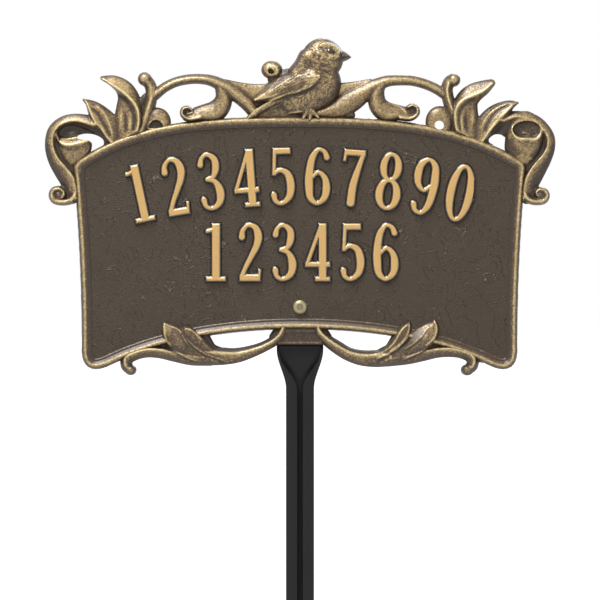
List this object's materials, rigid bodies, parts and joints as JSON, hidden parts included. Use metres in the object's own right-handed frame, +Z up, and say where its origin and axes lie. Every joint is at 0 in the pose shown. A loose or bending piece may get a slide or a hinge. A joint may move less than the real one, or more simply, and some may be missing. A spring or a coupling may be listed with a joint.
{
  "type": "lawn plaque",
  "caption": "Cast garden plaque with a blank arched panel, scrolled leaf crest and small bird, bolted to a folded steel ground stake.",
  "frame": {"origin": "on the stake at the ground line, in the plane of the casting's flat back", "axes": "+Z up along the stake, -Y out of the plaque's face, +X to the viewer's right"},
  "size_m": [0.3936, 0.0294, 0.6512],
  "materials": {
    "casting": "dark bronze paint with brass rubbed on the raised parts",
    "stake_steel": "black powder coat",
    "screw_brass": "pale brass",
    "hardware": "bright zinc"
  },
  "bodies": {
    "root": {"ground_stake": "stake_steel", "plaque_casting": "casting", "mounting_screw": "screw_brass", "flat_washer": "hardware", "lock_washer": "hardware", "hex_nut": "hardware"}
  },
  "joints": []
}
